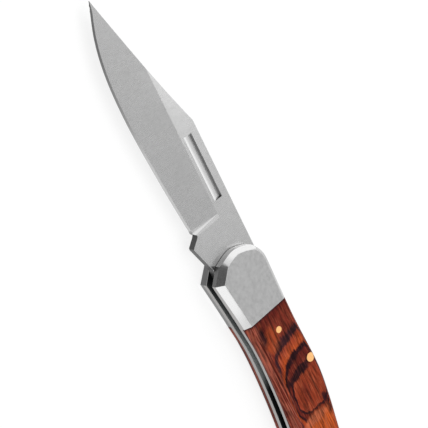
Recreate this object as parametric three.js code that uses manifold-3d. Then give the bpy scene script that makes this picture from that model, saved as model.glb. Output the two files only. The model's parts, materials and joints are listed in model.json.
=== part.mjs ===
// Folding pocket knife with a clip-point blade, lying open on its pile side.
// Millimetres. +X runs to the butt, +Y to the back (the side of the spring), +Z to the mark side,
// which is the side with the nail nick. The origin is on the pivot axis, in the resting plane.
import * as THREE from 'three';
import { mergeVertices } from 'three/addons/utils/BufferGeometryUtils.js';
import Module from 'manifold-3d';

const wasm = await Module();
wasm.setup();

// Thicknesses, stacked outwards from the middle plane
const slotWidth = 2.4;
const bladeThickness = 2.2;
const linerThickness = 1.2;
const coverThickness = 2.1;

// From the pivot to the tip. The folded blade lies in the handle, so the butt end follows from it.
const bladeReach = 89;
const buttAllowance = 5.5;
const handleReach = bladeReach + buttAllowance;
const backHeight = 9.25;

// Places given as a distance back from the tip, forward from the butt, or down from the back
const fromTip = ([x, y]) => [x - bladeReach, y];
const fromButt = ([x, y]) => [handleReach - x, y];
const downFromBack = ([x, drop]) => [x, backHeight - drop];

// Handle outline, seen from the mark side with the pivot at 0, 0
const jointX = 7.3;
const jointGap = 0.05;
const frontCurve = [[-11.0, 7.0], [-12.7, 3.0], [-12.85, 0], [-11.6, -4.2]];
const frontTopX = -8.6;
const topCornerCut = 3;
const chinCorner = [-7.7, -7.85];
const frontBelly = [[6.5, -6.25], [19, -5.5], [38.5, -6.65], [60, -9.7]];
const rearBelly = [16.5, -13.2];
const bellyPoints = [...frontBelly, fromButt(rearBelly)];
const buttEnd = [[8.5, -14.7], [2.7, -13.1], [0, -8.3], [1.3, -3.0], [6, 0.2]];
const buttPoints = buttEnd.map(fromButt);
const rearBack = [14.5, 7.55];
const frontBack = [[65, 5.15], [50, 2.7], [41, 1.08], [33, 0], [27, -0.2], [18, 0.07], [9.5, 0.3]];
const backPoints = [fromButt(rearBack), ...frontBack].map(downFromBack);
const backStraightX = -4;

// Worked edges of the bolsters and the scales: width in the face, depth down the side
const frontChamfer = { width: 1.15, depth: 1.25, bulge: 0 };
const buttRounding = { width: 2.4, depth: 1.8, bulge: 1 };
const bolsterBackRounding = { width: 1, depth: 1, bulge: 1 };
const woodBackRounding = { width: 1.5, depth: 1.4, bulge: 1 };
const woodBackX = 18;
const markSideEdges = {
  chin: { width: 1.5, depth: 1.95, bulge: 0 },
  bolster: { width: 1.65, depth: 1.85, bulge: 0 },
  joint: { width: 1.65, depth: 1.35, bulge: 0 },
  wood: { width: 3.1, depth: 1.3, bulge: 0.8 },
  woodX: 34,
};
const pileSideEdges = {
  chin: { width: 0.75, depth: 0.75, bulge: 0 },
  bolster: { width: 0.75, depth: 0.75, bulge: 0 },
  joint: { width: 0.75, depth: 0.7, bulge: 0 },
  wood: { width: 1.2, depth: 0.8, bulge: 1 },
  woodX: 14,
};

// Blade, drawn open
const tipY = -1.8;
const tip = [-bladeReach, tipY];
const clipStartX = -47.9;
const clipStart = [clipStartX, backHeight];
const clipHollowPlace = [21, 2.6];
const clipHollow = fromTip(clipHollowPlace);
const heel = [-23.1, -5.95];
const rearEdge = [[-40, -7.2], [-57, -7.9]];
const frontEdge = [[19, -7.35], [9, -5.4]];
const edgePoints = [...rearEdge, ...frontEdge.map(fromTip)];
const grindLineY = 3.5;
const heelEnd = [-22.4, -5.35];
const choil = [-21.7, -4.8];
const kickFront = [-21.1, -5.4];
const kick = [-19.3, -7.7];
const tangUnderside = [-11.2, -5.25];
const choilRadius = 0.2;
const kickFrontRadius = 0.3;
const kickRadius = 0.8;
const edgeShoulder = 0.2;
const edgeBevelHeight = 0.6;
const tipLength = 1.0;
const nickFront = -45.6;
const nickLength = 19.5;
const nickTop = 7.05;
const nickBottom = 4.45;
const nickDepth = 0.6;
const nickWallLean = 0.3;
const nickEntry = 1.8;

// Tang and closed position
const closedAngle = THREE.MathUtils.degToRad(174);
const tangReach = 4.6;
const tangCornerRadius = 3.0;
const shoulderX = -7.0;

// Back spring
const springGap = 0.1;
const springEndGap = 0.3;
const kickGap = 0.3;
const kickPadLength = 4;
const springWallAtPin = 1.2;
const springDepth = 3.1;
const springTailDepth = 5.5;
const springTailSetback = 16.5;
const springTailX = handleReach - springTailSetback;
const springTailRamp = 5;
const springTurnRadius = 3;
const springPinBoss = 5;

// Pins: place, radius
const pinGap = 0.08;
const pivotRadius = 2.0;
const pivotSeat = 1.2;
const springPinRadius = 1.3;
const middlePinPlace = [26.5, 1.6];
const middlePin = downFromBack(middlePinPlace);
const tailPinPlace = [6.5, 10.85];
const tailPin = downFromBack([springTailX + tailPinPlace[0], tailPinPlace[1]]);
const scalePinRadius = 0.93;
const scalePinFront = [13.4, 2.55];
const scalePinRearPlace = [21, -4.6];
const scalePinRear = fromButt(scalePinRearPlace);
const rivetRadius = 0.8;
const rivetSeat = 1.1;
const frontRivetPlace = [-7.6, 3.85];
const rearRivet = [4.2, -3.4];
const rivetPlaces = { front: downFromBack(frontRivetPlace), rear: rearRivet };

// How far a cutting solid reaches past what it cuts, through a plate and across the handle
const overcut = 1;
const beyond = 10;

// Smoothness of curves and of worked edges
const curveSteps = 5;
const frontSteps = 4;
const edgeSteps = 4;
const bladeStations = 34;

const slotHalf = slotWidth / 2;
const bladeHalf = bladeThickness / 2;
const linerOuter = slotHalf + linerThickness;
const coverOuter = linerOuter + coverThickness;
const middleHeight = coverOuter;

const steel = new THREE.MeshStandardMaterial({ color: 0xb2b4b6, roughness: 0.34, metalness: 1 });
const bolsterSteel = new THREE.MeshStandardMaterial({ color: 0xb4b6b7, roughness: 0.3, metalness: 1 });
const nickelSilver = new THREE.MeshStandardMaterial({ color: 0xb9b6ae, roughness: 0.32, metalness: 1 });
const springSteel = new THREE.MeshStandardMaterial({ color: 0xa4a6a8, roughness: 0.3, metalness: 1 });
const brass = new THREE.MeshStandardMaterial({ color: 0xe0ab62, roughness: 0.28, metalness: 1 });
const wood = new THREE.MeshStandardMaterial({ color: 0x7d3328, roughness: 0.4, metalness: 0 });

const vector = ([x, y]) => new THREE.Vector2(x, y);
const turned = (place, angle) => vector(place).rotateAround(new THREE.Vector2(), angle);

// A geometry as a solid, and back
function solid(geometry) {
  const bare = geometry.clone();
  bare.deleteAttribute('normal');
  bare.deleteAttribute('uv');
  const merged = mergeVertices(bare, 1e-5);
  return new wasm.Manifold(new wasm.Mesh({
    numProp: 3,
    vertProperties: Float32Array.from(merged.attributes.position.array),
    triVerts: Uint32Array.from(merged.index.array),
  }));
}

function geometryOf(body) {
  const mesh = body.getMesh();
  const geometry = new THREE.BufferGeometry();
  geometry.setAttribute('position', new THREE.BufferAttribute(mesh.vertProperties, 3));
  geometry.setIndex(new THREE.BufferAttribute(mesh.triVerts, 1));
  return geometry;
}

// The same geometry on the other side of the middle plane, with its faces still pointing out
function mirrored(geometry) {
  const flipped = geometry.index ? geometry.toNonIndexed() : geometry.clone();
  flipped.scale(1, 1, -1);
  const position = flipped.attributes.position;
  for (let i = 0; i < position.count; i += 3) {
    const first = new THREE.Vector3().fromBufferAttribute(position, i);
    const last = new THREE.Vector3().fromBufferAttribute(position, i + 2);
    position.setXYZ(i, last.x, last.y, last.z);
    position.setXYZ(i + 2, first.x, first.y, first.z);
  }
  flipped.deleteAttribute('normal');
  flipped.deleteAttribute('uv');
  return mergeVertices(flipped, 1e-5);
}

// A flat plate between two heights
function plate(shape, bottom, top) {
  const geometry = new THREE.ExtrudeGeometry(shape, {
    depth: top - bottom, bevelEnabled: false, curveSegments: curveSteps,
  });
  return geometry.translate(0, 0, bottom);
}

function round([x, y], radius, bottom, top) {
  const disc = new THREE.Shape();
  disc.absarc(x, y, radius, 0, 2 * Math.PI);
  const geometry = new THREE.ExtrudeGeometry(disc, {
    depth: top - bottom, bevelEnabled: false, curveSegments: 12,
  });
  return geometry.translate(0, 0, bottom);
}

// A shape from corners given as x, y and, where the corner is round, a radius
function cornered(corners) {
  const shape = new THREE.Shape();
  corners.forEach((corner, i) => {
    const here = vector(corner);
    const toBefore = vector(corners.at(i - 1)).sub(here).normalize();
    const toAfter = vector(corners[(i + 1) % corners.length]).sub(here).normalize();
    const cut = (corner[2] ?? 0) / Math.tan(toBefore.angleTo(toAfter) / 2);
    const start = here.clone().addScaledVector(toBefore, cut);
    const end = here.clone().addScaledVector(toAfter, cut);
    if (i === 0) shape.moveTo(start.x, start.y);
    else shape.lineTo(start.x, start.y);
    if (cut > 0) shape.quadraticCurveTo(here.x, here.y, end.x, end.y);
  });
  shape.closePath();
  return shape;
}

// Handle outline, counterclockwise from the front end of the back
function handleOutline() {
  const backEnd = [backStraightX, backHeight];
  const frontTop = vector([frontTopX, backHeight]);
  const front = new THREE.SplineCurve([frontTop, ...frontCurve.map(vector)])
    .getPoints(frontCurve.length * frontSteps);
  const cornerEnd = front.findIndex((point) => point.distanceTo(frontTop) > topCornerCut);
  const cornerStart = vector([frontTopX + topCornerCut, backHeight]);
  const corner = new THREE.QuadraticBezierCurve(cornerStart, frontTop, front[cornerEnd]);
  const rest = [chinCorner, ...bellyPoints, ...buttPoints, ...backPoints, backEnd];
  const around = new THREE.SplineCurve(rest.map(vector));
  return [
    ...corner.getPoints(frontSteps),
    ...front.slice(cornerEnd + 1),
    ...around.getPoints((rest.length - 1) * curveSteps),
  ];
}
const outline = handleOutline();
const handleEnd = Math.max(...outline.map((point) => point.x));
const handleShape = () => new THREE.Shape(outline);

const blend = (a, b, share) => Object.fromEntries(
  Object.keys(a).map((key) => [key, THREE.MathUtils.lerp(a[key], b[key], share)]),
);

// How the cover's edge is worked where the outline faces this way
const chinFacing = new THREE.Vector2(
  chinCorner[1] - frontCurve.at(-1)[1], frontCurve.at(-1)[0] - chinCorner[0],
).normalize();

function workedEdge(x, facing, edges) {
  const { smoothstep } = THREE.MathUtils;
  const belly = x < jointX
    ? blend(edges.bolster, edges.joint, smoothstep(x, chinCorner[0], jointX))
    : blend(edges.joint, edges.wood, smoothstep(x, jointX, edges.woodX));
  const end = x < jointX ? frontChamfer : buttRounding;
  const below = blend(end, belly, smoothstep(-facing.y, 0.75, 0.95));
  const front = blend(below, edges.chin, smoothstep(facing.dot(chinFacing), 0.93, 0.97));
  const back = blend(bolsterBackRounding, woodBackRounding, smoothstep(x, jointX, woodBackX));
  return blend(front, back, smoothstep(facing.y, 0.5, 0.95));
}

// The inward step at a corner of the outline, where each side keeps its own width
function inwardStep(before, after) {
  const turn = before.inward.cross(after.inward);
  if (Math.abs(turn) < 0.3) {
    const middle = before.inward.clone().add(after.inward).normalize();
    const width = (before.edge.width + after.edge.width) / 2;
    return middle.multiplyScalar(width / middle.dot(before.inward));
  }
  return new THREE.Vector2(
    (before.edge.width * after.inward.y - after.edge.width * before.inward.y) / turn,
    (after.edge.width * before.inward.x - before.edge.width * after.inward.x) / turn,
  );
}

// One cover over the whole liner, with its edges chamfered or rounded
function coverBlank(edges) {
  const count = outline.length;
  const sides = outline.map((point, i) => {
    const next = outline[(i + 1) % count];
    const along = next.clone().sub(point).normalize();
    const inward = new THREE.Vector2(-along.y, along.x);
    const edge = workedEdge((point.x + next.x) / 2, inward.clone().negate(), edges);
    return { inward, edge };
  });
  const positions = [];
  outline.forEach((point) => positions.push(point.x, point.y, linerOuter));
  for (let step = 0; step <= edgeSteps; step += 1) {
    const part = step / edgeSteps;
    outline.forEach((point, i) => {
      const before = sides.at(i - 1);
      const after = sides[i];
      const edge = blend(before.edge, after.edge, 0.5);
      const angle = part * Math.PI / 2;
      const inset = THREE.MathUtils.lerp(part, 1 - Math.cos(angle), edge.bulge);
      const rise = THREE.MathUtils.lerp(part, Math.sin(angle), edge.bulge);
      const place = inwardStep(before, after).multiplyScalar(inset).add(point);
      positions.push(place.x, place.y, coverOuter - edge.depth * (1 - rise));
    });
  }
  const index = [];
  for (let ring = 0; ring <= edgeSteps; ring += 1) {
    for (let i = 0; i < count; i += 1) {
      const a = ring * count + i;
      const b = ring * count + (i + 1) % count;
      index.push(a, b, b + count, a, b + count, a + count);
    }
  }
  const lastRing = (edgeSteps + 1) * count;
  const face = outline.map((point, i) => new THREE.Vector2(
    positions[3 * (lastRing + i)], positions[3 * (lastRing + i) + 1],
  ));
  THREE.ShapeUtils.triangulateShape(outline, []).forEach(([a, b, c]) => index.push(a, c, b));
  THREE.ShapeUtils.triangulateShape(face, []).forEach((corners) => {
    index.push(...corners.map((corner) => lastRing + corner));
  });
  const geometry = new THREE.BufferGeometry();
  geometry.setAttribute('position', new THREE.Float32BufferAttribute(positions, 3));
  geometry.setIndex(index);
  return solid(geometry);
}

// Everything on one side of a plane across the handle
function acrossHandle(from, to) {
  const reach = 4 * coverOuter + Math.abs(from) + Math.abs(to);
  const block = new THREE.BoxGeometry(to - from, reach, reach);
  return solid(block.translate((from + to) / 2, 0, 0));
}

const hole = (place, radius, bottom, top) => solid(round(place, radius + pinGap, bottom, top));
const throughHole = (place, radius) => (
  hole(place, radius, slotHalf - overcut, coverOuter + overcut)
);

function bolster(blank) {
  let body = blank.intersect(acrossHandle(frontTopX - beyond, jointX));
  body = body.subtract(hole([0, 0], pivotRadius, 0, linerOuter + pivotSeat + pinGap));
  for (const place of Object.values(rivetPlaces)) {
    body = body.subtract(hole(place, rivetRadius, 0, linerOuter + rivetSeat + pinGap));
  }
  return geometryOf(body);
}

function scale(blank) {
  let body = blank.intersect(acrossHandle(jointX + jointGap, handleEnd + beyond));
  for (const place of [middlePin, tailPin]) {
    body = body.subtract(throughHole(place, springPinRadius));
  }
  for (const place of [scalePinFront, scalePinRear]) {
    body = body.subtract(throughHole(place, scalePinRadius));
  }
  return geometryOf(body);
}

function liner() {
  const pins = [
    [[0, 0], pivotRadius],
    [middlePin, springPinRadius],
    [tailPin, springPinRadius],
    [scalePinFront, scalePinRadius],
    [scalePinRear, scalePinRadius],
    ...Object.values(rivetPlaces).map((place) => [place, rivetRadius]),
  ];
  let body = solid(plate(handleShape(), slotHalf, linerOuter));
  for (const [place, radius] of pins) {
    body = body.subtract(throughHole(place, radius));
  }
  return geometryOf(body);
}

// The height of the back at this place along the handle
function backAt(x) {
  if (x < backStraightX) return backHeight;
  const back = new THREE.SplineCurve([...buttPoints.slice(-2), ...backPoints,
    [backStraightX, backHeight]].map(vector)).getPoints(80);
  const i = back.findIndex((point) => point.x < x);
  const share = (x - back[i].x) / (back[i - 1].x - back[i].x);
  return THREE.MathUtils.lerp(back[i].y, back[i - 1].y, share);
}

// The spring is flush with the back. Its underside bears on the tang and, closed, on the kick,
// swells round the middle pin and ends as the spacer of the butt.
function backSpring() {
  const restsOn = tangReach + springGap;
  const closedKick = turned(kick, closedAngle);
  const kickPad = closedKick.y + kickGap;
  const padStart = closedKick.x - kickPadLength / 2;
  const pinBottom = middlePin[1] - springPinRadius - springWallAtPin;
  const under = (x) => [x, backAt(x) - springDepth];
  const armSteps = [0.25, 0.5, 0.75];
  const blank = cornered([
    [shoulderX + springEndGap, backHeight + beyond],
    [shoulderX + springEndGap, restsOn, springGap],
    [padStart - kickPadLength, restsOn, springTurnRadius],
    [padStart, kickPad, springTurnRadius / 2],
    [padStart + kickPadLength, kickPad, springTurnRadius / 2],
    [middlePin[0] - springPinBoss / 2, pinBottom, springTurnRadius / 2],
    [middlePin[0] + springPinBoss / 2, pinBottom],
    ...armSteps.map((part) => under(THREE.MathUtils.lerp(middlePin[0], springTailX, part))),
    [...under(springTailX), springTurnRadius],
    [springTailX + springTailRamp, tailPin[1] - springTailDepth / 2, springTurnRadius],
    [handleEnd + beyond, tailPin[1] - springTailDepth],
    [handleEnd + beyond, backHeight + beyond],
  ]);
  let body = solid(plate(blank, -slotHalf, slotHalf));
  body = body.intersect(solid(plate(handleShape(), -slotHalf - overcut, slotHalf + overcut)));
  for (const place of [middlePin, tailPin]) {
    body = body.subtract(hole(place, springPinRadius, -slotHalf - overcut, slotHalf + overcut));
  }
  return geometryOf(body);
}

// Blade stations run from the heel to the tip. Each is a section across the blade: the back,
// the top of the grind, the shoulder of the cutting edge, the edge, and the same going up again.
function bladeStation(edgeCurve, clip, x) {
  const edge = heightOn(edgeCurve, x);
  const back = x > clipStart[0] ? clipStart[1] : heightOn(clip, x);
  const shoulder = edge + Math.min(edgeBevelHeight, (back - edge) / 3);
  const ground = (y) => THREE.MathUtils.mapLinear(y, grindLineY, shoulder, bladeHalf, edgeShoulder);
  const grindTop = Math.min(grindLineY, THREE.MathUtils.lerp(back, shoulder, 0.15));
  const side = [
    [back, back > grindLineY ? bladeHalf : ground(back)],
    [grindTop, ground(grindTop)],
    [shoulder, edgeShoulder],
  ];
  const otherSide = side.map(([y, z]) => [y, -z]).reverse();
  return [...side, [edge, 0], ...otherSide].map(([y, z]) => [x, y, z]);
}

function heightOn(curve, x) {
  const points = curve.getPoints(120);
  const i = Math.max(1, points.findIndex((point) => point.x <= x));
  const share = (x - points[i].x) / (points[i - 1].x - points[i].x);
  return THREE.MathUtils.lerp(points[i].y, points[i - 1].y, share);
}

function groundBlade() {
  const edgeCurve = new THREE.SplineCurve([heel, ...edgePoints, tip].map(vector));
  const clip = new THREE.QuadraticBezierCurve(...[clipStart, clipHollow, tip].map(vector));
  const rings = [];
  for (let i = 0; i <= bladeStations; i += 1) {
    const x = THREE.MathUtils.lerp(heel[0], tip[0] + tipLength, i / bladeStations);
    rings.push(bladeStation(edgeCurve, clip, x));
  }
  const inTang = rings[0].map(([x, y, z]) => [x + springGap, y, z]);
  rings.unshift(inTang);
  const size = rings[0].length;
  const positions = [...rings.flat(2), ...tip, 0];
  const index = [];
  for (let ring = 0; ring + 1 < rings.length; ring += 1) {
    for (let i = 0; i < size; i += 1) {
      const a = ring * size + i;
      const b = ring * size + (i + 1) % size;
      index.push(a, a + size, b, b, a + size, b + size);
    }
  }
  const point = rings.length * size;
  const lastRing = point - size;
  for (let i = 0; i < size; i += 1) index.push(lastRing + i, point, lastRing + (i + 1) % size);
  const section = inTang.map(([, y, z]) => new THREE.Vector2(y, z));
  THREE.ShapeUtils.triangulateShape(section, []).forEach((corners) => index.push(...corners));
  const geometry = new THREE.BufferGeometry();
  geometry.setAttribute('position', new THREE.Float32BufferAttribute(positions, 3));
  geometry.setIndex(index);
  return solid(geometry);
}

// The tang turns under the spring. Its lower flat lies on the spring when the knife is closed.
function tang() {
  const reach = tangReach;
  const underFront = turned([reach + 1, reach], -closedAngle).toArray();
  const underRear = [reach, -reach * Math.tan((closedAngle - Math.PI / 2) / 2)];
  const shape = cornered([
    [heel[0], backHeight],
    [shoulderX, backHeight],
    [shoulderX, reach, 0.5],
    [reach, reach, tangCornerRadius],
    [...underRear, tangCornerRadius],
    underFront,
    tangUnderside,
    [...kick, kickRadius],
    [...kickFront, kickFrontRadius],
    [...choil, choilRadius],
    heelEnd,
    heel,
  ]);
  const body = solid(plate(shape, -bladeHalf, bladeHalf));
  return body.subtract(hole([0, 0], pivotRadius, -bladeHalf - overcut, bladeHalf + overcut));
}

// Long nail nick: a steep wall towards the back, and a floor that runs out hollow towards the edge
function nailNick() {
  const section = new THREE.Shape();
  const above = bladeHalf + overcut;
  const floor = bladeHalf - nickDepth;
  section.moveTo(nickTop, bladeHalf);
  section.lineTo(nickTop, above);
  section.lineTo(nickBottom - 2 * nickEntry, above);
  section.lineTo(nickBottom, bladeHalf);
  section.quadraticCurveTo(nickBottom + nickEntry, floor, nickTop - nickWallLean, floor);
  section.closePath();
  const geometry = new THREE.ExtrudeGeometry(section, {
    depth: nickLength, bevelEnabled: false, curveSegments: curveSteps,
  });
  const toBladeFrame = new THREE.Matrix4().set(
    0, 0, 1, nickFront,
    1, 0, 0, 0,
    0, 1, 0, 0,
    0, 0, 0, 1,
  );
  return solid(geometry.applyMatrix4(toBladeFrame));
}

function blade() {
  return geometryOf(groundBlade().add(tang()).subtract(nailNick()));
}

const group = new THREE.Group();
group.position.z = middleHeight;

function add(name, geometry, material) {
  const mesh = new THREE.Mesh(geometry, material);
  mesh.name = name;
  group.add(mesh);
}

function addPair(name, geometry, material) {
  add(`${name}_mark_side`, geometry, material);
  add(`${name}_pile_side`, mirrored(geometry), material);
}

add('blade', blade(), steel);
add('back_spring', backSpring(), springSteel);
addPair('liner', liner(), nickelSilver);

const markSideCover = coverBlank(markSideEdges);
const pileSideCover = coverBlank(pileSideEdges);
add('bolster_mark_side', bolster(markSideCover), bolsterSteel);
add('bolster_pile_side', mirrored(bolster(pileSideCover)), bolsterSteel);
add('scale_mark_side', scale(markSideCover), wood);
add('scale_pile_side', mirrored(scale(pileSideCover)), wood);

const pivotEnd = linerOuter + pivotSeat;
add('pivot_pin', round([0, 0], pivotRadius, -pivotEnd, pivotEnd), springSteel);
add('spring_pin_middle', round(middlePin, springPinRadius, -coverOuter, coverOuter), brass);
add('spring_pin_tail', round(tailPin, springPinRadius, -coverOuter, coverOuter), brass);
addPair('scale_pin_front', round(scalePinFront, scalePinRadius, slotHalf, coverOuter), brass);
addPair('scale_pin_rear', round(scalePinRear, scalePinRadius, slotHalf, coverOuter), brass);
for (const [where, place] of Object.entries(rivetPlaces)) {
  const rivet = round(place, rivetRadius, slotHalf, linerOuter + rivetSeat);
  addPair(`bolster_rivet_${where}`, rivet, springSteel);
}

export default group;
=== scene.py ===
# %% [markdown]
# # A folding pocket knife
#
# The knife lies open on its far side, as in the photograph: a clip-point blade, steel bolsters, scales of
# laminated red-brown wood and flush brass pins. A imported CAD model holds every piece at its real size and
# says how the blade turns. This lesson remakes the pieces that show, with finer edges and with finishes
# made of shader nodes.

import json
import math

import bmesh
import bpy
from mathutils import Matrix, Vector
from mathutils.bvhtree import BVHTree


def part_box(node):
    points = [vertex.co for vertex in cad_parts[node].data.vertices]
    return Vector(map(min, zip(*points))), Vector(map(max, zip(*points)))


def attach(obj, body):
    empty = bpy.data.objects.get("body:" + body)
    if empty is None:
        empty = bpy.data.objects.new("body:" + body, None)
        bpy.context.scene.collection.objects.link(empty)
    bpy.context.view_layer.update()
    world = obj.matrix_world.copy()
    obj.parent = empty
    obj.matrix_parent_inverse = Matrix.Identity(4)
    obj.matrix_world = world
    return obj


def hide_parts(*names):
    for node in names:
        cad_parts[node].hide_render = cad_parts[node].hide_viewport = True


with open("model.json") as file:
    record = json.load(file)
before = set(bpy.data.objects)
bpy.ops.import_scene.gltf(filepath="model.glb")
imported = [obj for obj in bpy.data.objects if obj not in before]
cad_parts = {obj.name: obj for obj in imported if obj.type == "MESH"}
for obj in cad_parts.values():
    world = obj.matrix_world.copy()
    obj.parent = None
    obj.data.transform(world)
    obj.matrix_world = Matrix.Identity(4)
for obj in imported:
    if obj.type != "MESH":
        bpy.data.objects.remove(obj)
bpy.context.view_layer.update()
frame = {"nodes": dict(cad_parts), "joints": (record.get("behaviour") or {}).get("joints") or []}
nodes = frame["nodes"]
print("nodes in the frame:", len(nodes))

# %% [markdown]
# ## Units
#
# Blender works in metres, a knife maker in millimetres. Every shape is drawn in millimetres about the
# middle plane of the knife, where its halves mirror each other, and one matrix takes it to its place, half
# the handle's thickness above the floor.

# %% Sizes that the frame gives
MM = 0.001
bolster_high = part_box("bolster_mark_side")[1]
scale_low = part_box("scale_mark_side")[0]
liner_low, liner_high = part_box("liner_mark_side")
blade_low, blade_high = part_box("blade")
spring_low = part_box("back_spring")[0]

middle = (blade_low.z + blade_high.z) / 2 / MM
blade_half = (blade_high.z - blade_low.z) / 2 / MM
slot_half = liner_low.z / MM - middle
liner_outer = liner_high.z / MM - middle
cover_outer = bolster_high.z / MM - middle
thickness = 2 * cover_outer
joint_x = bolster_high.x / MM
scale_front = scale_low.x / MM
to_place = Matrix.Scale(MM, 4) @ Matrix.Translation((0, 0, middle))
print(f"handle {thickness:.2f} mm thick, blade stock {2 * blade_half:.2f} mm")

# %% [markdown]
# ## Camera
#
# The photograph was taken with a long lens, a little from the side of the cutting edge, with the tip up
# and left. The camera is given by a point that it looks at, two angles, a distance and a roll.


# %% Place the camera
def add_object(name, data):
    made = bpy.data.objects.new(name, data)
    bpy.context.scene.collection.objects.link(made)
    return made


def way_to(azimuth, elevation):
    turn = math.radians(azimuth)
    lift = math.radians(elevation)
    return Vector((math.cos(turn) * math.cos(lift), math.sin(turn) * math.cos(lift), math.sin(lift)))


camera_aim = Vector((-22.96, 3.14, 4.5)) * MM
camera_side = way_to(-130.70, 51.98)
camera_distance = 447.04 * MM
camera_roll = math.radians(97.73)
camera_lens = 145.77


def place_camera():
    data = bpy.data.cameras.new("photograph")
    data.lens = camera_lens
    data.sensor_width = 36
    data.clip_start = 0.01
    camera = add_object("photograph", data)
    level = (-camera_side).to_track_quat("-Z", "Y").to_matrix().to_4x4()
    place = Matrix.Translation(camera_aim + camera_side * camera_distance)
    camera.matrix_world = place @ level @ Matrix.Rotation(camera_roll, 4, "Z")
    bpy.context.scene.camera = camera


place_camera()
bpy.context.scene.view_settings.view_transform = "Standard"
print("camera at", [round(value, 3) for value in bpy.context.scene.camera.location])

# %% [markdown]
# ## Shader nodes with less typing
#
# A finish is a small graph of nodes. These helpers add a node and plug in what they are given, do sums,
# mix colours, look a colour up, or make noise that is drawn out one way.


# %% Helpers for node graphs
def empty_graph(owner):
    owner.use_nodes = True
    owner.node_tree.nodes.clear()
    return owner.node_tree


def plug(tree, socket, value):
    if isinstance(value, bpy.types.NodeSocket):
        tree.links.new(value, socket)
    else:
        socket.default_value = value


def plug_named(tree, node, **inputs):
    for name, value in inputs.items():
        plug(tree, node.inputs[name.replace("_", " ")], value)


def add_node(tree, kind, settings=None, *values, **inputs):
    """Values go to the first sockets in order, and inputs to the sockets of that name."""
    made = tree.nodes.new("ShaderNode" + kind)
    for name, value in (settings or {}).items():
        setattr(made, name, value)
    for socket, value in zip(made.inputs, values):
        plug(tree, socket, value)
    plug_named(tree, made, **inputs)
    return made


def calc(tree, operation, *values):
    return add_node(tree, "Math", {"operation": operation}, *values).outputs[0]


def one_axis(tree, place, axis):
    return add_node(tree, "SeparateXYZ", Vector=place).outputs[axis]


def mix_colours(tree, share, first, second, how="MIX"):
    made = add_node(tree, "Mix", {"data_type": "RGBA", "blend_type": how})
    for socket, value in zip((made.inputs[0], made.inputs[6], made.inputs[7]), (share, first, second)):
        plug(tree, socket, value)
    return made.outputs[2]


def ramp(tree, value, stops):
    made = add_node(tree, "ValToRGB", Fac=value)
    points = made.color_ramp.elements
    while len(points) < len(stops):
        points.new(0.5)
    for point, (position, colour) in zip(points, stops):
        point.position = position
        point.color = (*colour, 1) if isinstance(colour, tuple) else (colour, colour, colour, 1)
    return made.outputs["Color"]


def share_between(tree, value, low, high, at_low=0.0, at_high=1.0, how="SMOOTHSTEP"):
    return add_node(
        tree, "MapRange", {"interpolation_type": how}, Value=value, From_Min=low, From_Max=high,
        To_Min=at_low, To_Max=at_high,
    ).outputs["Result"]


def noise(tree, place, scale, detail=2.0, roughness=0.5):
    """A scale of three numbers squeezes the noise along one axis and draws it out along another."""
    if isinstance(scale, tuple):
        place = add_node(tree, "Mapping", Vector=place, Scale=scale).outputs[0]
        scale = 1.0
    return add_node(
        tree, "TexNoise", Vector=place, Scale=scale, Detail=detail, Roughness=roughness,
    ).outputs["Fac"]


# %% [markdown]
# ## Studio
#
# Steel has no colour of its own: it shows the room. In the photograph the edges that face the horizon are
# white and the flat faces grey, so the room has white walls and darkens towards the photographer. It is a
# world shader that reads only the direction of a ray, so it stays put when the camera moves. A wide lamp
# overhead gives the soft shadow, and small ones lighten the blade.

# %% Room
white_wall_height = (0.45, 0.6)
# Brightness by how far a direction turns towards the photographer, 1.0
wall_levels = [(0.82, 1.0), (0.88, 0.5), (0.94, 0.1)]
room_levels = [
    (0.46, 1.0), (0.56, 0.62), (0.61, 0.58), (0.63, 0.70), (0.65, 0.70), (0.69, 0.47), (0.71, 0.48),
    (0.735, 0.60), (0.76, 0.62), (0.80, 0.86), (0.87, 0.9), (0.91, 0.5), (0.95, 0.12), (1.0, 0.1),
]


def make_room():
    world = bpy.data.worlds.new("studio")
    bpy.context.scene.world = world
    tree = empty_graph(world)
    direction = add_node(tree, "TexCoord").outputs["Generated"]
    above_wall = share_between(tree, one_axis(tree, direction, "Z"), *white_wall_height)
    towards = add_node(tree, "VectorMath", {"operation": "DOT_PRODUCT"}, direction, camera_side)
    share = calc(tree, "MULTIPLY_ADD", towards.outputs["Value"], 0.5, 0.5)
    wall = ramp(tree, share, wall_levels)
    colour = mix_colours(tree, above_wall, wall, ramp(tree, share, room_levels))
    light = add_node(tree, "Background", Color=colour, Strength=1.0)
    add_node(tree, "OutputWorld", Surface=light.outputs["Background"])


make_room()


# %% Lamps
def soft_lamp(name, azimuth, elevation, distance, width, height, watts, in_metal=True):
    data = bpy.data.lights.new(name, "AREA")
    data.shape = "RECTANGLE"
    data.size = width
    data.size_y = height
    data.energy = watts
    lamp = add_object(name, data)
    side = way_to(azimuth, elevation)
    lamp.location = side * distance
    lamp.visible_glossy = in_metal
    lamp.rotation_euler = (-side).to_track_quat("-Z", "Y").to_euler()


soft_lamp("overhead", 0, 90, 1.1, 1.1, 1.1, 6.4, in_metal=False)
soft_lamp("belly_fill", -62, 29, 0.9, 0.5, 0.5, 1.0, in_metal=False)
soft_lamp("behind_tip", 84, 53, 0.75, 0.34, 0.25, 0.3)
soft_lamp("over_handle", -14, 65, 0.8, 0.26, 0.2, 0.14)
print("lamps:", bpy.data.lights.keys())

# %% [markdown]
# ## Floor
#
# The knife lies on plain white: a matt sheet with a little light of its own for the rays that come from
# the camera or from a shiny surface, so it reads as white and still keeps the shadow. It lies a hair below
# the knife, because two faces at one height would flicker.

# %% Floor
floor_colour = (0.24, 0.24, 0.24, 1)
floor_glow = 0.76
floor_reach = 4.0
floor_gap = 0.00002


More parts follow.
